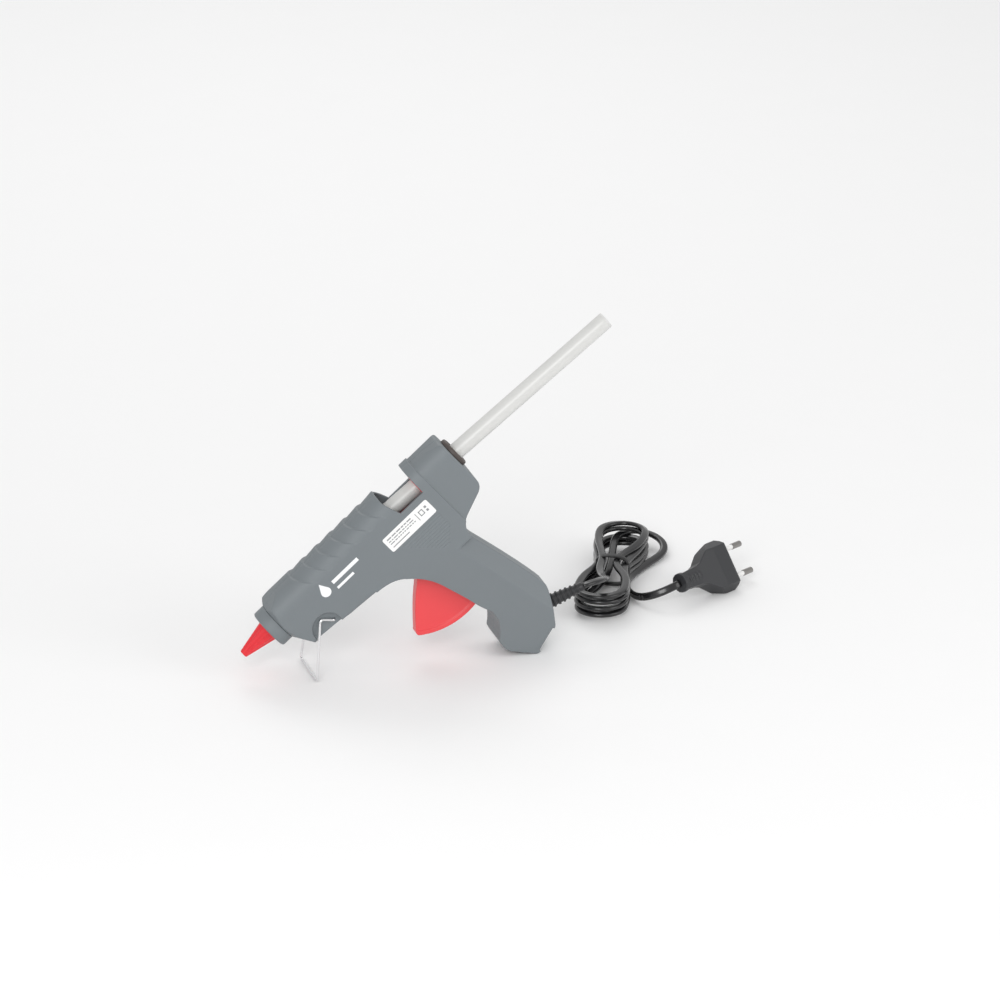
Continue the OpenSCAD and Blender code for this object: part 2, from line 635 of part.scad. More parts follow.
// Wire stand, opened against its stop
stand_bend = [50.7, -13.2];
leg_out = stand_w / 2;
bends = [1.6, 2.6, 2.6];           // how far each bend of the wire reaches: at the pin, the knee and the foot
function round_bend(a, b, c, r) = let (p = b - r * unit(b - a), q = b + r * unit(c - b))
    [for (i = [0:5]) let (t = i / 5) (1 - t) * (1 - t) * p + 2 * t * (1 - t) * b + t * t * q];
module stand_wire() {
    deep = half - recess_depth - stand_hole_depth + 0.4;
    side = [[stand_pin.x, deep, stand_pin.y], [stand_pin.x, leg_w, stand_pin.y],
            [stand_bend.x, leg_w, stand_bend.y], [stand_bar.x, leg_out, stand_bar.y], [stand_bar.x, 0, stand_bar.y]];
    bent = concat([side[0]], [for (i = [1:3]) each round_bend(side[i - 1], side[i], side[i + 1], bends[i - 1])]);
    n = len(bent);
    color("silver") in_gun()
        sweep(concat(bent, [for (i = [n - 1:-1:0]) [bent[i].x, -bent[i].y, bent[i].z]]), wire_d, wire_d, 16);
}

// Label and printed mark on the left side
label_size = [38, 11.6];
label_at = [113.6, -14.2];
module rating_label() {
    color("white") in_gun() translate([label_at.x, -half, label_at.y]) rotate([90, 0, 0]) linear_extrude(0.15) {
        c = 1.3;
        translate([c, 0]) square(label_size - [2 * c, 0]);
        translate([0, c]) square(label_size - [0, 2 * c]);
        for (x = [c, label_size.x - c], y = [c, label_size.y - c]) translate([x, y]) circle(c);
    }
}
mark_at = [66, -1.5];
module printed_mark() {
    color("white") in_gun() translate([mark_at.x, -half, mark_at.y]) rotate([90, 0, 0]) linear_extrude(0.12) {
        polygon(concat([[0, 7.4]], arc([0, 0], 3.4, 152, 388, 20)));
        translate([7, 0.4]) square([22, 2.6]);
        translate([7, -4.4]) square([14, 1.8]);
    }
}

// Mains lead where it leaves the handle
boot_len = 24;
boot_flange_t = 3;
boot_out = 2.4 + boot_len;         // end of the boot along its axis
module strain_relief() {
    color("black") in_gun() difference() {
        union() {
            on_boot(-0.6) cylinder(r = boot_flange_r, h = boot_flange_t);
            on_boot(-wall - 2.6) cylinder(r = neck_r - seat_gap, h = wall + 3);
            on_boot(-wall - 3.6) cylinder(r = neck_r + 1.2, h = 1.6);
            on_boot(2.4) cylinder(r1 = 4.4, r2 = 3.3, h = boot_len);
            for (i = [0:5]) on_boot(4.6 + i * 3.4) cylinder(r = 4.75 - i * 0.2, h = 1.5);
        }
        on_boot(-20) linear_extrude(60) flex_section(seat_gap);
    }
}
module flex_section(d) {
    square([flex_t + 2 * d, flex_w - flex_t], center = true);
    for (s = [-1, 1]) translate([0, s * (flex_w - flex_t) / 2]) circle(flex_t / 2 + d);
}
module cord_entry() { color("black") in_gun() on_boot(-16) linear_extrude(16 + boot_out) flex_section(0); }
clamp_s = -12.5;                   // the clamp's place along the boot's axis
module cord_clamp() {
    color("dimgray") in_gun() on_boot(clamp_s) difference() {
        translate([-4, -9, 0]) cube([8, 18, 5]);
        translate([0, 0, -1]) linear_extrude(7) flex_section(seat_gap);
        for (s = [-1, 1]) translate([-5, s * 6.4, 2.5]) rotate([0, 90, 0]) cylinder(r = 1.2 + seat_gap, h = 10);
    }
}
module clamp_screws() {
    color("silver") in_gun() on_boot(clamp_s) for (s = [-1, 1]) translate([-5, s * 6.4, 2.5]) rotate([0, 90, 0]) {
        cylinder(r = 1.2, h = 9);
        translate([0, 0, -1]) cylinder(r = 2.2, h = 2);
    }
}
// Leads from the cord's end up the back of the handle and along the barrel's floor
crimp_u = pill_u0 + pill_len + 9;
lead_d = 1.6;
cord_in = boot_at - 16.4 * [cos(boot_dir), sin(boot_dir)];   // the flex's end inside the handle
module lead(s) {
    v = pill_v + s * (pill_t + electrode_t) / 2;
    path = [[crimp_u + 4, s * 3, v], [93, s * 3.4, v - 0.4], [98, s * 6, -14], [104, s * 9.4, -15.5],
            [128, s * 10, -20], [144, s * 9.4, -30], [149.5, s * 7, -42], [151.8, s * 5.8, -58],
            [154, s * 4.6, -75], [156, s * 4.4, -90], [150.5, s * 4.4, -100.5], [141.5, s * 3.8, -107],
            [137.4, s * 2.6, -112], [138.4, s * 1.3, -116], [cord_in.x, s * 1.2, cord_in.y]];
    sweep(smooth(path, 3), lead_d, lead_d, 8);
}
module lead_live() { color("saddlebrown") in_gun() lead(1); }
module lead_neutral() { color("royalblue") in_gun() lead(-1); }
module crimp_terminals() {
    color("goldenrod") in_gun() for (s = [-1, 1]) {
        v = pill_v + s * (pill_t + electrode_t) / 2;
        difference() {
            plate(crimp_u - 2, crimp_u + 4, s * 3 - 1.5, s * 3 + 1.5, v - 1, v + 1);
            plate(crimp_u - 3, crimp_u + 3, s * 3 - 1.05, s * 3 + 1.05, v - electrode_t / 2 - seat_gap, v + electrode_t / 2 + seat_gap);
        }
    }
}

// The lead on the table: free end of the boot, tied hank, outer loop, tail, plug.
// The routes are points in the part's own frame.
lead_route = [[103.6, 0, 36.7], [107.6, 0, 37.9], [112.4, 1.4, 38.1], [117.4, 5, 37.3], [121.6, 10.4, 35.6],
              [124.7, 17.4, 33], [126.8, 25.5, 29.7], [128.8, 34.5, 25.9], [130.8, 44, 22.2], [133, 54, 19.2]];
loop_route = [[168.4, 133.2, 11.2], [173.5, 139, 11], [181, 141.6, 10.4], [190, 139, 9.4], [196, 132, 7.6],
              [197.4, 124, 5.6], [194, 115.5, 3.8], [188, 109.5, 2.9], [181.5, 104.2, 2.9], [171.5, 94.9, 2.8],
              [162.5, 85.6, 2.8]];
tail_route = [[154.3, 60, 3], [154.2, 52.3, 3.4], [156.6, 43.5, 5], [163, 37.1, 8.4], [171.8, 34.7, 12.2],
              [176.3, 35.2, 13.8], [180.5, 37, 14.65]];
// A smooth line through the points: each stretch is a Catmull-Rom span
function span_point(a, b, c, d, t) = 0.5 * (2 * b + (c - a) * t + (2 * a - 5 * b + 4 * c - d) * t * t
    + (3 * b - a - 3 * c + d) * t * t * t);
function smooth(p, k) = let (n = len(p)) concat(
    [for (i = [0:n - 2], j = [0:k - 1])
        span_point(p[max(i - 1, 0)], p[i], p[i + 1], p[min(i + 2, n - 1)], j / k)], [p[n - 1]]);
module flex(route) { color("black") sweep(smooth(route, 2), flex_w, flex_t, 10); }
module cord_lead() { flex(lead_route); }
module cord_loop() { flex(loop_route); }
module cord_tail() { flex(tail_route); }

hank_from = [128, 39];
hank_to = [169, 124];
hank_r = 18;
hank_low = 1.2;
hank_high = 20;
hank_turn = atan2(hank_to.y - hank_from.y, hank_to.x - hank_from.x);
hank_run = norm(hank_to - hank_from);
waist_w = 11;                      // half-width where the tie draws the hank in
waist_points = 24;
function hank_half(k) = (hank_r + waist_w) / 2 + (hank_r - waist_w) / 2 * cos(360 * k);
module in_hank() { translate([hank_from.x, hank_from.y, 0]) rotate([0, 0, hank_turn]) children(); }
module cord_hank() {
    edge = concat([for (a = [-180:10:-100]) hank_r * [cos(a), -sin(a)]],
                  [for (i = [0:waist_points]) [hank_run * i / waist_points, hank_half(i / waist_points)]],
                  [for (a = [80:-10:10]) [hank_run, 0] + hank_r * [cos(a), sin(a)]]);
    color("black") in_hank() translate([0, 0, hank_low]) linear_extrude(hank_high - hank_low)
        polygon(concat(edge, [[hank_run + hank_r, 0]], [for (i = [len(edge) - 1:-1:1]) [edge[i].x, -edge[i].y]]));
}
tie_w = 3.4;
tie_half = waist_w + 0.1;
tie_t = hank_low;                  // the band lies between the hank and the ground
tie_round = 2.5;
module cord_tie() {
    color("black") in_hank() translate([(hank_run - tie_w) / 2, 0, 0]) rotate([90, 0, 90])
        linear_extrude(tie_w) difference() {
            hull() for (s = [-1, 1], y = [tie_round, hank_high + tie_t - tie_round])
                translate([s * (tie_half + tie_t - tie_round), y]) circle(tie_round);
            translate([-tie_half, hank_low]) square([2 * tie_half, hank_high - hank_low]);
        }
}

// Two-pin plug, resting on one slanted end facet
plug_t = 13.7;
plug_flat = 26.1;                  // width of its flat faces
pin_pitch = 18.6;
pin_len = 19;
sleeve_len = 10;
pin_root_r = plug_pin_d / 2 - 0.8; // under the sleeve and in the body
plug_at = [219.8, 59.4];           // centre of the front face, seen from above
plug_yaw = 29.7;
plug_lean = atan2((plug_w - plug_flat) / 2, plug_t / 2);
plug_high = plug_w / 2 * cos(plug_lean);
neck_back = 45;                    // plug's length behind its front face
module in_plug() {
    translate([plug_at.x, plug_at.y, plug_high]) rotate([0, 0, plug_yaw]) rotate([-plug_lean, 0, 0]) children();
}
module plug_body() {
    hexagon = [[-plug_t / 2, -plug_flat / 2], [0, -plug_w / 2], [plug_t / 2, -plug_flat / 2],
               [plug_t / 2, plug_flat / 2], [0, plug_w / 2], [-plug_t / 2, plug_flat / 2]];
    w = plug_w / 2;
    side = concat([[0, w - 2.2], [-2.2, w]], curve([-10, w], [-14, w - 1], [-26, 7.4], 6), [[-30, 6.2], [-neck_back, 5.2]]);
    top = concat([[0, 6.2], [-2, 6.85], [-12, 6.85]], [[-30, 4.8], [-neck_back, 4.4]]);
    color("darkslategray") in_plug() difference() {
        union() {
            intersection() {
                translate([-60, 0, 0]) along(60) polygon(hexagon);
                across(60) polygon(concat(side, mirrored(side)));
                linear_extrude(60, center = true) polygon(concat(top, mirrored(top)));
            }
            translate([-neck_back, 0, 0]) rotate([0, 90, 0]) cylinder(r = 6.4, h = 3.4);
            for (i = [0:3]) translate([-neck_back + 5.4 + i * 3, 0, 0]) rotate([0, 90, 0]) cylinder(r = 5.6, h = 1.5);
        }
        for (s = [-1, 1]) translate([-8, 0, s * pin_pitch / 2]) rotate([0, 90, 0]) cylinder(r = pin_root_r, h = 9);
    }
}
function mirrored(p) = [for (i = [len(p) - 1:-1:0]) [p[i].x, -p[i].y]];
tip_round = 1;
module plug_pins() {
    r = plug_pin_d / 2;
    color("silver") in_plug() for (s = [-1, 1]) translate([0, 0, s * pin_pitch / 2]) rotate([0, 90, 0]) {
        translate([0, 0, -8]) cylinder(r = pin_root_r, h = 8 + sleeve_len);
        translate([0, 0, sleeve_len]) cylinder(r = r, h = pin_len - sleeve_len - tip_round);
        translate([0, 0, pin_len - tip_round]) cylinder(r1 = r, r2 = r - tip_round, h = tip_round);
    }
}
module pin_sleeves() {
    color("whitesmoke") in_plug() for (s = [-1, 1]) translate([0, 0, s * pin_pitch / 2]) rotate([0, 90, 0])
        difference() {
            cylinder(r = plug_pin_d / 2 - 0.35, h = sleeve_len);
            translate([0, 0, -1]) cylinder(r = pin_root_r, h = sleeve_len + 2);
        }
}

housing_left();
housing_right();
nose_ring();
nozzle_cover();
nozzle_tip();
check_ball();
check_spring();
melt_chamber();
heater_pill();
electrode_live();
electrode_neutral();
heater_wrap();
heater_clip();
inlet_sleeve();
sleeve_clamp();
support_front();
support_rear();
glue_stick();
stick_guide();
feed_carriage();
grip_jaw();
jaw_pin();
drive_pin();
trigger();
trigger_pin();
trigger_spring();
stand_wire();
housing_screws();
rating_label();
printed_mark();
strain_relief();
cord_entry();
cord_clamp();
clamp_screws();
lead_live();
lead_neutral();
crimp_terminals();
cord_lead();
cord_hank();
cord_loop();
cord_tail();
cord_tie();
plug_body();
plug_pins();
pin_sleeves();
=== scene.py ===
"""Looks for a hot glue gun on its wire stand, with its glue stick and its tied mains lead."""
import json
import math
import random

import bmesh
import bpy
from mathutils import Matrix, Vector, noise


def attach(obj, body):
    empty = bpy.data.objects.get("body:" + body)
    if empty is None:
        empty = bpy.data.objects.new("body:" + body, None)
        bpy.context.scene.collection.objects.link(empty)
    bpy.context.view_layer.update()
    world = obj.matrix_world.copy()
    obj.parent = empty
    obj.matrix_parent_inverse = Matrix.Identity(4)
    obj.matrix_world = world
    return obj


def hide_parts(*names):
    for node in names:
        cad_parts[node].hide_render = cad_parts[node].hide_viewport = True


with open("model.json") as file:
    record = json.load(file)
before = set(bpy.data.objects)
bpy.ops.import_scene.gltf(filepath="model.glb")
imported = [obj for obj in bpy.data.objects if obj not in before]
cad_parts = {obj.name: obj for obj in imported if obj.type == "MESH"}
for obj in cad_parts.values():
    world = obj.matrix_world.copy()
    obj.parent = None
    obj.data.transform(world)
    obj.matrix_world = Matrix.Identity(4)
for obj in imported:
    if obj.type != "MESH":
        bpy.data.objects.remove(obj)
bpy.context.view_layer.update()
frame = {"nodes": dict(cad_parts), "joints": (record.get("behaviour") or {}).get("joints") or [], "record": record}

MM = 0.001
random.seed(11)


# ---------------------------------------------------------------- camera
AIM = Vector((0.0487, 0.0, 0.1022))
BACK = Vector((-0.2633, -0.8890, 0.3746)).normalized()
DISTANCE = 5.0

camera_data = bpy.data.cameras.new("camera")
camera_data.lens = 284.4
camera_data.sensor_width = 36
camera_data.clip_start = 0.01
camera = bpy.data.objects.new("camera", camera_data)
bpy.context.collection.objects.link(camera)
camera.location = AIM + BACK * DISTANCE
camera.rotation_euler = BACK.to_track_quat("Z", "Y").to_euler()
bpy.context.scene.camera = camera


# ---------------------------------------------------------------- gun frame
# The gun's own axes: u runs back from the nozzle's tip, w to its right, v up its back.
joints = {j["name"]: j for j in frame["joints"]}
forward = Vector(joints["carriage_feed"]["axis"]).normalized()
U = -forward
V = Vector((-U.z, 0, U.x))
PIVOT = (119, -37)
TIP = Vector(joints["trigger_squeeze"]["pos_m"]) - U * PIVOT[0] * MM - V * PIVOT[1] * MM


def at(u, v, w=0.0):
    """The point of the shared frame, in metres, that lies at u, v, w millimetres in the gun's own axes."""
    return TIP + U * u * MM + V * v * MM + Vector((0, w * MM, 0))


# ---------------------------------------------------------------- mesh helpers
def add(name, verts, faces, smooth=True):
    mesh = bpy.data.meshes.new(name)
    mesh.from_pydata([tuple(v) for v in verts], [], faces)
    mesh.update()
    shape = bmesh.new()
    shape.from_mesh(mesh)
    bmesh.ops.recalc_face_normals(shape, faces=shape.faces)
    shape.to_mesh(mesh)
    shape.free()
    if smooth:
        mesh.shade_smooth()
    obj = bpy.data.objects.new(name, mesh)
    bpy.context.collection.objects.link(obj)
    return obj


def skin(rings, closed=True):
    """Vertices and faces of a tube through rings of points: closed caps its ends, or else they join up."""
    n = len(rings[0])
    verts = [p for ring in rings for p in ring]
    faces = []
    for i in range(len(rings) - 1):
        for k in range(n):
            m = (k + 1) % n
            faces.append((i * n + k, i * n + m, (i + 1) * n + m, (i + 1) * n + k))
    if closed:
        faces.append(tuple(reversed(range(n))))
        faces.append(tuple((len(rings) - 1) * n + k for k in range(n)))
    else:
        last = (len(rings) - 1) * n
        for k in range(n):
            m = (k + 1) % n
            faces.append((last + k, last + m, m, k))
    return verts, faces


def lathe(name, profile, origin, axis, up, sides=96, closed=True, radius=None):
    """profile is a list of (distance along axis, radius) in millimetres; radius may change it by angle."""
    axis = axis.normalized()
    up = (up - axis * up.dot(axis)).normalized()
    side = axis.cross(up)
    rings = []
    for s, r in profile:
        ring = []
        for k in range(sides):
            a = 2 * math.pi * k / sides
            rr = radius(s, r, a) if radius else r
            ring.append(origin + axis * s * MM + (up * math.cos(a) + side * math.sin(a)) * rr * MM)
        rings.append(ring)
    return add(name, *skin(rings, closed))


def rounded(points, r, steps=4):
    """The same open profile with its inner corners rounded by r, or by less where a leg is short."""
    out = [points[0]]
    for a, b, c in zip(points, points[1:], points[2:]):
        pa, pb, pc = Vector(a), Vector(b), Vector(c)
        cut = min(r, (pb - pa).length * 0.45, (pc - pb).length * 0.45)
        p, q = pb + (pa - pb).normalized() * cut, pb + (pc - pb).normalized() * cut
        for i in range(steps + 1):
            t = i / steps
            out.append(tuple(p * (1 - t) ** 2 + pb * 2 * t * (1 - t) + q * t * t))
    out.append(points[-1])
    return out


def smooth_line(points, step, passes=0):
    """A Catmull-Rom curve through the points, evened out and spaced by step."""
    pts = [Vector(p) for p in points]
    fine = []
    for i in range(len(pts) - 1):
        a, b, c, d = pts[max(i - 1, 0)], pts[i], pts[i + 1], pts[min(i + 2, len(pts) - 1)]
        for j in range(10):
            t = j / 10
            fine.append(0.5 * (2 * b + (c - a) * t + (2 * a - 5 * b + 4 * c - d) * t * t
                               + (3 * b - a - 3 * c + d) * t ** 3))
    fine.append(pts[-1])
    line = respace(fine, step)
    hold = 3
    for _ in range(passes):
        line = [p if i < hold or i >= len(line) - hold else (line[i - 1] + p * 2 + line[i + 1]) / 4
                for i, p in enumerate(line)]
    return respace(line, step)


def respace(line, step):
    lengths = [0.0]
    for a, b in zip(line, line[1:]):
        lengths.append(lengths[-1] + (b - a).length)
    count = max(2, round(lengths[-1] / step))
    out, i = [], 0
    for k in range(count + 1):
        want = lengths[-1] * k / count
        while i < len(line) - 2 and lengths[i + 1] < want:
            i += 1
        span = lengths[i + 1] - lengths[i] or 1e-9
        out.append(line[i].lerp(line[i + 1], min(1.0, (want - lengths[i]) / span)))
    return out


# ---------------------------------------------------------------- the mains lead
FLEX_W, FLEX_T = 5.2, 3.2
# The hank's own axes: s runs along it from near to far, t across it, z up; all in millimetres
HANK_FROM = Vector((128, 39, 0))
HANK_TO = Vector((169, 124, 0))
HANK_RUN = (HANK_TO - HANK_FROM).length
HANK_E = (HANK_TO - HANK_FROM).normalized()
HANK_N = Vector((-HANK_E.y, HANK_E.x, 0))
FOLD_R = 15.4                                # radius of the half turns at its ends


def in_hank(s, t, z):
    """The point at s, t, z in the hank's own axes."""
    return HANK_FROM + HANK_E * s + HANK_N * t + Vector((0, 0, z))


def fold(centre, way, z0, z1, out=0.0, r=FOLD_R):
    """Half a turn at one end of the hank: way is 1 at the far end and -1 at the near one."""
    pts = []
    for a in (12, 38, 64, 90, 116, 142, 168):
        k = a / 180
        rad = math.radians(a)
        s = centre + way * (r + out) * math.sin(rad)
        pts.append(in_hank(s, way * r * math.cos(rad), z0 + (z1 - z0) * k))
    return pts


def run(start, stop, edge, waist, low, high, held):
    """A stretch along the hank that draws in to the tie, where it lies at height held."""
    out = []
    for i in range(7):
        k = i / 6
        pull = 0.5 - 0.5 * math.cos(2 * math.pi * k)
        t = edge * (1 - pull) + waist * pull
        z = (low + (high - low) * k) * (1 - pull) + held * pull
        out.append(in_hank(start + (stop - start) * k, t, z))
    return out


def turn(centre, r, first, last, z0, z1, steps=6):
    """Points round part of a circle, by angle in degrees, while the height eases from z0 to z1."""
    out = []
    for i in range(steps + 1):
        k = i / steps
        rad = math.radians(first + (last - first) * k)
        out.append(Vector((centre[0] + r * math.cos(rad), centre[1] + r * math.sin(rad), z0 + (z1 - z0) * k)))
    return out


boot_end = (103.6, 0.0, 36.7)
lead_route = [boot_end, (107.6, 0.0, 37.9), (112.4, 1.4, 38.1), (117.4, 5.0, 37.3), (121.6, 10.4, 35.6),
              (124.7, 17.4, 33.0), (126.8, 25.5, 29.7), (128.8, 34.5, 25.9), (130.8, 44.0, 22.2),
              (133.0, 54.0, 19.6)]
# Each turn of the hank: the two runs' places at the tie, its folds' heights and how far the folds reach out
TURNS = [((3.2, 17.4), (-2.8, 17.0), 17.9, 17.2, 0.8), ((8.5, 14.9), (-8.5, 14.7), 14.7, 13.0, -0.4),
         ((8.4, 11.3), (-8.3, 11.2), 8.1, 8.7, 0.9), ((8.5, 7.7), (-8.5, 7.6), 4.7, 4.5, -0.3)]
FAR, NEAR = HANK_RUN, 0.0
RUN_NEAR, RUN_FAR, RUN_EDGE = 12, 82, 14.6   # where the runs start and stop, and how far they stand off there
LEAVE_AT = 11.3                              # height of the strand that leaves for the loose loop
route = [Vector(p) for p in lead_route]
level = 19.0
for number, ((a_t, a_z), (b_t, b_z), far_z, near_z, out) in enumerate(TURNS):
    if number:
        route += run(RUN_NEAR, RUN_FAR, RUN_EDGE, a_t, level, far_z, a_z)
    else:
        route += [in_hank(30, 5.4, 18.4), in_hank(47, 5.8, 17.9)]
        route += [in_hank(64, 9.6, 17.9), in_hank(79, 13.6, 17.9)]
    route += fold(FAR, 1, far_z, far_z, out)
    route += run(RUN_FAR, RUN_NEAR, -RUN_EDGE, b_t, far_z, near_z, b_z)
    route += fold(NEAR, -1, near_z, near_z, out)
    level = near_z
route += [in_hank(RUN_NEAR, 13.0, 4.7), in_hank(26, 7.2, 5.4), in_hank(42, 3.4, 7.2), in_hank(58, 2.6, 9.0),
          in_hank(74, 3.6, 10.6), in_hank(88, 4.8, LEAVE_AT)]
# The loose loop at the far end, then the tail that runs back along the floor and up to the plug
LOOP_R = 16.2
loop_centre = in_hank(101, 5.2 - LOOP_R, 0)
bearing = math.degrees(math.atan2(HANK_N.y, HANK_N.x))
route += turn(loop_centre, LOOP_R, bearing, bearing - 60, LEAVE_AT, LEAVE_AT - 0.6, 3)
route += turn(loop_centre, LOOP_R, bearing - 84, -46, 10, 3.6, 5)
route += [Vector(p) for p in ((181.5, 104.2, 2.9), (171.5, 94.9, 2.8), (162.5, 85.6, 2.8), (157.1, 76, 2.8),
                              (154.5, 64.5, 2.9))]
route += [Vector(p) for p in ((154.2, 52.3, 3.4), (156.6, 43.5, 5.0), (163.0, 37.1, 8.4), (171.8, 34.7, 12.2),
                              (176.3, 35.2, 13.8), (180.5, 37.0, 14.65))]
cord_line = smooth_line(route, 1.5, 24)

# The plug rests on one slanted facet of its side, so it leans
PLUG_W, PLUG_FLAT, PLUG_T = 35.3, 26.1, 13.7
PLUG_YAW = math.radians(29.7)
PLUG_LEAN = math.atan2((PLUG_W - PLUG_FLAT) / 2, PLUG_T / 2)
plug_wide = Matrix.Rotation(PLUG_YAW, 3, "Z") @ Vector((0, math.sin(PLUG_LEAN), math.cos(PLUG_LEAN)))


def flex_outline(sides=20):
    """The twin flex's outline: two round cores in one sheath, with a shallow groove between them."""
    lobe, out = (FLEX_W - FLEX_T) / 2, []
    for k in range(sides):
        a = 2 * math.pi * (k + 0.5) / sides
        x, y = math.cos(a), math.sin(a)
        side = math.copysign(lobe * min(1.0, abs(x) * 2.6), x)
        groove = 1 - 0.13 * math.exp(-(x / 0.3) ** 2)
        out.append((side + x * FLEX_T / 2, y * FLEX_T / 2 * groove))
    return out


def flex_roll(k):
    """Roll of the flat flex about its line, at k from 0 to 1 along it."""
    wave = 22 * math.sin(k * 31.0) + 14 * math.sin(k * 74.0 + 1.3)
    gate = min(1.0, k / 0.06) * min(1.0, (1 - k) / 0.07)
    return math.radians(wave * gate)


def sweep_flex(name, line):
    up = Vector((0, 0, 1))
    rings, outline = [], flex_outline()
    total = len(line) - 1
    for i, p in enumerate(line):
        t = (line[min(i + 1, total)] - line[max(i - 1, 0)]).normalized()
        side = up.cross(t).normalized()
        k = i / total
        roll = flex_roll(k)
        if k > 0.9:
            end = math.atan2(side.cross(plug_wide).dot(t), side.dot(plug_wide))
            end = (end + math.pi / 2) % math.pi - math.pi / 2
            blend = min(1.0, (k - 0.9) / 0.08)
            blend = blend * blend * (3 - 2 * blend)
            roll = roll * (1 - blend) + end * blend
        wide = Matrix.Rotation(roll, 3, t) @ side
        thin = t.cross(wide)
        rings.append([(p + wide * x + thin * y) * MM for x, y in outline])
    return add(name, *skin(rings))


# The hank's tie: a thin band that hugs the bundle, leaning a little along it
TIE_AT, TIE_WIDE, TIE_THICK = HANK_RUN / 2, 4.4, 1.1
TIE_HALF_ACROSS, TIE_HALF_UP, TIE_MIDDLE, TIE_LEAN = 10.9, 9.0, 10.4, 0.9
TIE_CORNER = 0.72                            # 1 would make the loop an oval, and less squares its corners


def tie_ring(s, grow):
    """A soft-cornered loop across the hank, grown outwards by grow."""
    out = []
    for i in range(64):
        a = 2 * math.pi * i / 64
        x, y = math.cos(a), math.sin(a)
        t = math.copysign(abs(x) ** TIE_CORNER, x) * (TIE_HALF_ACROSS + grow)
        z = TIE_MIDDLE + math.copysign(abs(y) ** TIE_CORNER, y) * (TIE_HALF_UP + grow)
        out.append(in_hank(s + TIE_LEAN * y, t, z) * MM)
    return out


rings = []
tie_profile = [(0, 0), (0, 0.8), (0.25, TIE_THICK), (TIE_WIDE - 0.25, TIE_THICK),
               (TIE_WIDE, 0.8), (TIE_WIDE, 0)]
for s, grow in tie_profile:
    rings.append(tie_ring(TIE_AT - TIE_WIDE / 2 + s, grow))
tie_band = add("tie_band", *skin(rings, closed=False))

cord = sweep_flex("mains_lead", cord_line)
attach(cord, "gun")
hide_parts("cord_lead", "cord_hank", "cord_loop", "cord_tail")


# ---------------------------------------------------------------- materials
def material(name, colour, roughness, metallic=0.0, vary=0.06, grain=900.0, grain_depth=0.00003,
             patch=25.0, rough_vary=0.08, stretch=(1, 1, 1), edge=0.0, extra=None):
    """A node material: colour and roughness drift in large patches, and a fine grain lifts the surface."""
    mat = bpy.data.materials.new(name)
    mat.use_nodes = True
    nodes, links = mat.node_tree.nodes, mat.node_tree.links
    shader = nodes["Principled BSDF"]
    shader.inputs["Metallic"].default_value = metallic
    for key, value in (extra or {}).items():
        shader.inputs[key].default_value = value
    where = nodes.new("ShaderNodeTexCoord")
    scale = nodes.new("ShaderNodeMapping")
    scale.inputs["Scale"].default_value = stretch
    links.new(where.outputs["Object"], scale.inputs["Vector"])

    drift = nodes.new("ShaderNodeTexNoise")
    drift.inputs["Scale"].default_value = patch
    drift.inputs["Detail"].default_value = 4
    links.new(scale.outputs["Vector"], drift.inputs["Vector"])
    tint = nodes.new("ShaderNodeMix")
    tint.data_type = "RGBA"
    tint.inputs["A"].default_value = (*[c * (1 - vary) for c in colour], 1)
    tint.inputs["B"].default_value = (*[min(1, c * (1 + vary)) for c in colour], 1)
    links.new(drift.outputs["Fac"], tint.inputs["Factor"])
    colour_out = tint.outputs["Result"]

    rough = nodes.new("ShaderNodeMapRange")
    rough.inputs["To Min"].default_value = max(0.02, roughness - rough_vary)
    rough.inputs["To Max"].default_value = min(1.0, roughness + rough_vary)
    links.new(drift.outputs["Fac"], rough.inputs["Value"])
    links.new(rough.outputs["Result"], shader.inputs["Roughness"])

    # edge paints a highlight: the colour is lightened along convex edges, where the surface is most pointed,
    # standing in for the light that the rounded edges catch
    if edge:
        pointy_geometry = nodes.new("ShaderNodeNewGeometry")
        ramp = nodes.new("ShaderNodeValToRGB")
        ramp.color_ramp.elements[0].position = 0.52
        ramp.color_ramp.elements[1].position = 0.62
        links.new(pointy_geometry.outputs["Pointiness"], ramp.inputs["Fac"])
        painted_highlight = nodes.new("ShaderNodeMix")
        painted_highlight.data_type = "RGBA"
        painted_highlight.blend_type = "MIX"
        scaled = nodes.new("ShaderNodeMath")
        scaled.operation = "MULTIPLY"
        scaled.inputs[1].default_value = edge
        links.new(ramp.outputs["Color"], scaled.inputs[0])
        links.new(scaled.outputs["Value"], painted_highlight.inputs["Factor"])
        links.new(colour_out, painted_highlight.inputs["A"])
        painted_highlight.inputs["B"].default_value = (*[min(1, c * 1.5 + 0.05) for c in colour], 1)
        colour_out = painted_highlight.outputs["Result"]
    links.new(colour_out, shader.inputs["Base Color"])

    fine = nodes.new("ShaderNodeTexNoise")
    fine.inputs["Scale"].default_value = grain
    fine.inputs["Detail"].default_value = 3
    links.new(scale.outputs["Vector"], fine.inputs["Vector"])
    bump = nodes.new("ShaderNodeBump")
    bump.inputs["Strength"].default_value = 0.6
    bump.inputs["Distance"].default_value = grain_depth
    links.new(fine.outputs["Fac"], bump.inputs["Height"])
    links.new(bump.outputs["Normal"], shader.inputs["Normal"])
    return mat
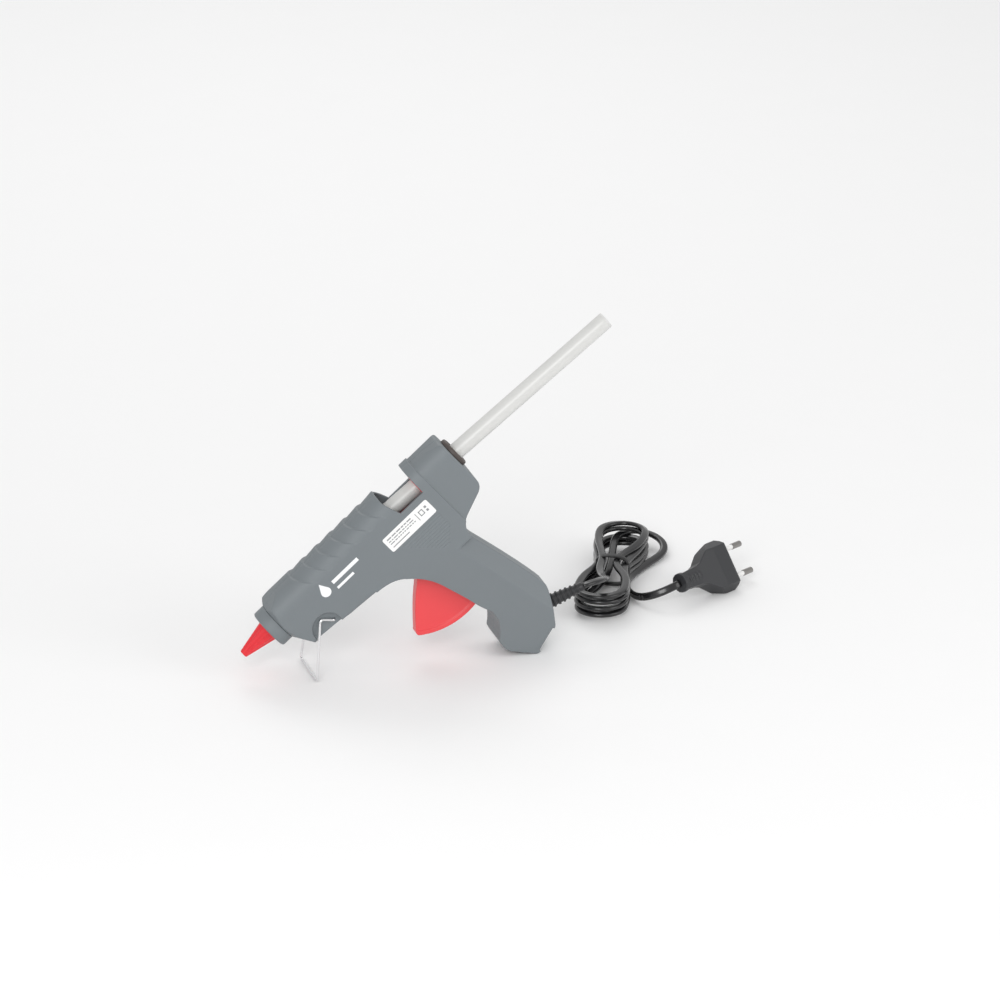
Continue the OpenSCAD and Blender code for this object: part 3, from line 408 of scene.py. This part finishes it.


# edge sets how strongly each finish gets a painted highlight along its convex edges
MATERIALS = {
    "grey_shell": material("grey_shell", (0.176, 0.196, 0.208), 0.50, vary=0.04, grain=1500,
                           grain_depth=0.00004, edge=0.35, extra={"Specular IOR Level": 0.4}),
    "red_silicone": material("red_silicone", (0.72, 0.020, 0.030), 0.36, vary=0.10, grain=700,
                             grain_depth=0.00003, edge=0.4),
    "brass_part": material("brass_part", (0.78, 0.57, 0.25), 0.28, metallic=1.0, stretch=(1, 6, 6)),
    "steel": material("steel", (0.60, 0.60, 0.61), 0.30, metallic=1.0, stretch=(1, 5, 5)),
    "cast_aluminium": material("cast_aluminium", (0.62, 0.63, 0.64), 0.45, metallic=1.0, grain=500,
                               grain_depth=0.00008),
    "ceramic": material("ceramic", (0.20, 0.19, 0.18), 0.75, grain=1200),
    "amber_film": material("amber_film", (0.75, 0.33, 0.05), 0.20, vary=0.12),
    "insulating_board": material("insulating_board", (0.30, 0.16, 0.07), 0.70, vary=0.18, grain=600,
                                 grain_depth=0.00006),
    "hot_melt": material("hot_melt", (0.62, 0.62, 0.605), 0.34, vary=0.035, grain=260, grain_depth=0.00008,
                         patch=40, stretch=(1, 1, 1),
                         extra={"Subsurface Weight": 0.35, "Subsurface Scale": 0.004,
                                "Subsurface Radius": (1.0, 1.0, 1.0), "Coat Weight": 0.15,
                                "Coat Roughness": 0.2}),
    "dark_plastic": material("dark_plastic", (0.075, 0.060, 0.054), 0.50, grain=1200),
    "red_plastic": material("red_plastic", (0.80, 0.060, 0.068), 0.34, vary=0.05, grain=1300,
                            grain_depth=0.00002, edge=0.3,
                            extra={"Coat Weight": 0.1, "Coat Roughness": 0.25}),
    "plated_wire": material("plated_wire", (0.78, 0.78, 0.79), 0.16, metallic=1.0, grain=900,
                            rough_vary=0.06),
    "white_label": material("white_label", (0.86, 0.86, 0.85), 0.40, vary=0.02, grain=900,
                            grain_depth=0.00001),
    "white_ink": material("white_ink", (0.86, 0.87, 0.88), 0.45, vary=0.05, grain=1600),
    "black_rubber": material("black_rubber", (0.020, 0.020, 0.022), 0.42, vary=0.2, grain=1100),
    "black_pvc": material("black_pvc", (0.009, 0.009, 0.010), 0.24, vary=0.25, grain=500, grain_depth=0.00003,
                          extra={"Coat Weight": 0.22, "Coat Roughness": 0.12}),
    "brown_pvc": material("brown_pvc", (0.16, 0.07, 0.03), 0.35),
    "blue_pvc": material("blue_pvc", (0.04, 0.14, 0.45), 0.35),
    "black_tie": material("black_tie", (0.012, 0.012, 0.013), 0.50, grain=1500),
    "charcoal_pvc": material("charcoal_pvc", (0.028, 0.029, 0.032), 0.46, vary=0.1, grain=1200,
                             grain_depth=0.00004, edge=0.25),
    "nickel_pins": material("nickel_pins", (0.30, 0.29, 0.28), 0.30, metallic=1.0, stretch=(4, 4, 1)),
    "white_sleeve": material("white_sleeve", (0.84, 0.84, 0.83), 0.42, vary=0.03),
    "label_print": material("label_print", (0.26, 0.27, 0.28), 0.50, vary=0.05),
}


def dress(obj, slot):
    """Gives obj the finish of a material slot; the slot's name is the record's."""
    obj.data.materials.clear()
    obj.data.materials.append(MATERIALS[slot])
    return obj


def piece(obj, body, slot, *nodes):
    dress(obj, slot)
    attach(obj, body)
    if nodes:
        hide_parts(*nodes)
    return obj


dress(cord, "black_pvc")
for part in frame["record"]["subparts"]:
    node = frame["nodes"][part["node"]]
    finish = MATERIALS[part["material_slot"]]
    for i in range(max(1, len(node.material_slots))):
        if i < len(node.material_slots):
            node.material_slots[i].material = finish
        else:
            node.data.materials.append(finish)


def soften(name, voxel, passes, factor=0.5):
    """Rounds a moulded node's edges with modifiers: an even fine mesh, then a light smoothing."""
    obj = frame["nodes"][name]
    even = obj.modifiers.new("even", "REMESH")
    even.mode = "VOXEL"
    even.voxel_size = voxel * MM
    even.use_smooth_shade = True
    round_off = obj.modifiers.new("round_off", "SMOOTH")
    round_off.factor = factor
    round_off.iterations = passes


soften("housing_left", 0.36, 4)
soften("housing_right", 0.36, 4)
soften("trigger", 0.4, 6)
soften("stand_wire", 0.22, 3)
soften("plug_body", 0.35, 7)
soften("plug_pins", 0.2, 3)
soften("feed_carriage", 0.35, 3)
soften("housing_screws", 0.2, 1)


# ---------------------------------------------------------------- gun pieces
# Glue stick: a cut rod with slightly rolled ends
STICK_R, STICK_LEN, STICK_TILT = 5.6, 200.0, math.radians(2.9)
stick_dir = (U * math.cos(STICK_TILT) - V * math.sin(STICK_TILT)).normalized()
stick_start = at(112, 2.72)
ends = [(0, 0.05), (0, 3.2), (0.05, 5.0), (0.35, 5.45), (0.9, STICK_R)]
profile = ends + [(s, STICK_R) for s in range(3, 198, 3)] + [(STICK_LEN - s, r) for s, r in reversed(ends)]


def stick_radius(s, r, a):
    """Extruded glue isn't quite round: faint flats and ripples run along it."""
    if r < 1:
        return r
    ripple = noise.noise(Vector((s * 0.06, math.cos(a), math.sin(a))))
    return r - 0.05 + 0.03 * math.cos(3 * a + 0.4) + 0.02 * ripple


piece(lathe("glue_rod", profile, stick_start, stick_dir, V, 72, radius=stick_radius), "stick", "hot_melt",
      "glue_stick")

# Nose ring, with a softened front edge
RING_R = 13.5
ring = [(22.05, 8.0), (22.0, RING_R - 1.3), (22.3, RING_R - 0.6), (23.0, RING_R), (30.2, RING_R),
        (30.25, RING_R - 1.2), (25.1, RING_R - 1.3), (25.0, 8.0)]
piece(lathe("front_ring", rounded(ring, 0.5), TIP, U, V, 120, closed=False), "gun", "grey_shell", "nose_ring")

# Nozzle cover: a cone with rounded ribs and valleys along it
RIBS = 10


def nozzle_radius(s, r, a):
    if s > 21.9 or r < 2.2 or s < 0.15:
        return r
    wave = math.cos(RIBS * a)
    depth = 0.55 * min(1.0, s / 5.0)
    return r - depth * (0.5 - 0.5 * wave) ** 0.8


outer = [(0.0, 1.7), (0.0, 2.2), (0.12, 2.5)] + [(0.4 + i * 0.6, 2.62 + (7.45 - 2.62) * (0.4 + i * 0.6) / 22)
                                                 for i in range(36)]
outer += [(21.95, 7.4), (22.0, 7.5), (23.9, 7.5)]
inner = [(23.9, 4.7), (20.0, 4.6), (2.0, 1.75)]
piece(lathe("nozzle_sleeve", outer + inner, TIP, U, V, 200, closed=False, radius=nozzle_radius), "gun",
      "red_silicone", "nozzle_cover")

# Guide ring that the stick passes through at the rear
guide = [(180.2, 9.5), (183.0, 9.5), (183.05, 10.3), (185.0, 10.3), (185.7, 9.8), (186.0, 9.0), (186.0, 8.1),
         (185.2, 7.3), (180.2, 7.3)]
guide_ring = lathe("guide_ring", rounded(guide, 0.45), TIP, U, V, 96, closed=False)
piece(guide_ring, "gun", "dark_plastic", "stick_guide")

# Ribbed strain relief
BOOT_DIR = math.radians(-21)
boot_axis = (U * math.cos(BOOT_DIR) + V * math.sin(BOOT_DIR)).normalized()
boot_origin = at(156.9, -123.3)
boot = [(-5.8, 3.0), (-5.8, 5.8), (-4.2, 5.8), (-4.2, 4.5), (-0.6, 4.5), (-0.6, 6.3), (2.3, 6.1), (2.5, 4.4)]
for i in range(6):
    s, r = 4.6 + i * 3.4, 4.75 - i * 0.2
    boot += [(s, r - 0.75), (s + 0.1, r), (s + 1.4, r), (s + 1.5, r - 0.8)]
boot += [(25.6, 3.35), (26.4, 3.1), (26.4, 2.5)]


def boot_radius(s, r, a):
    """The boot's bore and its last ring follow the flat flex, so its end is a little oval."""
    k = max(0.0, min(1.0, (s - 14) / 12))
    return r * (1 - 0.10 * k * math.cos(a) ** 2)


piece(lathe("cord_boot", rounded(boot, 0.35, 3), boot_origin, boot_axis, V, 72, radius=boot_radius), "gun",
      "black_rubber", "strain_relief")

piece(tie_band, "gun", "black_tie", "cord_tie")

# Print on the label: plain bars and a frame, with no lettering
LABEL_AT = (113.6, -14.2)
PRINT_FROM, PRINT_TO = 15.155, 15.175        # how far from the gun's middle plane the print's two faces lie


def label_bars():
    """The bars' lower corners, widths and heights: three rows like lines of print, and a few plain marks."""
    bars = []
    for v, t in [(8.6, 0.9), (6.7, 0.7), (4.9, 0.7)]:
        u = 2.4
        while u < 23:
            w = random.choice([1.2, 1.9, 2.6, 3.4])
            bars.append((u, v, min(w, 24 - u), t))
            u += w + 0.6
    bars += [(26.2, 3.2, 0.5, 6.0), (28.6, 4.6, 3.4, 0.6), (28.6, 8.0, 3.4, 0.6), (28.6, 4.6, 0.6, 4.0),
             (31.4, 4.6, 0.6, 4.0), (33.6, 4.4, 1.6, 1.6), (33.6, 7.2, 1.6, 1.6), (2.4, 2.2, 14.0, 0.7)]
    return bars


verts, faces = [], []
for u, v, w, t in label_bars():
    n = len(verts)
    for depth in (PRINT_FROM, PRINT_TO):
        for du, dv in ((0, 0), (w, 0), (w, t), (0, t)):
            verts.append(at(LABEL_AT[0] + u + du, LABEL_AT[1] + v + dv, -depth))
    faces += [(n, n + 1, n + 2, n + 3), (n + 7, n + 6, n + 5, n + 4)]
    faces += [(n + i, n + (i + 1) % 4, n + 4 + (i + 1) % 4, n + 4 + i) for i in range(4)]
# The record has no slot of its own for print, so its piece has the label's slot and a darker finish
print_on_label = piece(add("label_bars", verts, faces, smooth=False), "gun", "white_label")
dress(print_on_label, "label_print")


# ---------------------------------------------------------------- stage and light
def plane(name, size, z):
    h = size / 2
    return add(name, [(-h, -h, z), (h, -h, z), (h, h, z), (-h, h, z)], [(0, 1, 2, 3)], smooth=False)


floor = plane("floor", 12.0, -0.0002)
floor_mat = material("floor_paint", (0.93, 0.93, 0.93), 0.85, vary=0.004, grain=60, grain_depth=0.00002)
floor.data.materials.append(floor_mat)


def area(name, where, size, power, target=(0.03, 0.0, 0.09)):
    data = bpy.data.lights.new(name, "AREA")
    data.shape = "DISK"
    data.size = size
    data.energy = power
    obj = bpy.data.objects.new(name, data)
    bpy.context.collection.objects.link(obj)
    obj.location = where
    obj.rotation_euler = (Vector(where) - Vector(target)).to_track_quat("Z", "Y").to_euler()


area("key", (-0.75, -1.6, 1.0), 0.9, 13.5)
area("fill", (1.3, -1.1, 0.8), 1.1, 5.6)
area("back", (0.2, 1.3, 1.3), 1.0, 4.8)

world = bpy.data.worlds.new("world")
bpy.context.scene.world = world
world.use_nodes = True
world.node_tree.nodes["Background"].inputs["Color"].default_value = (1.0, 1.0, 1.0, 1)
world.node_tree.nodes["Background"].inputs["Strength"].default_value = 0.72
bpy.context.scene.view_settings.view_transform = "Standard"
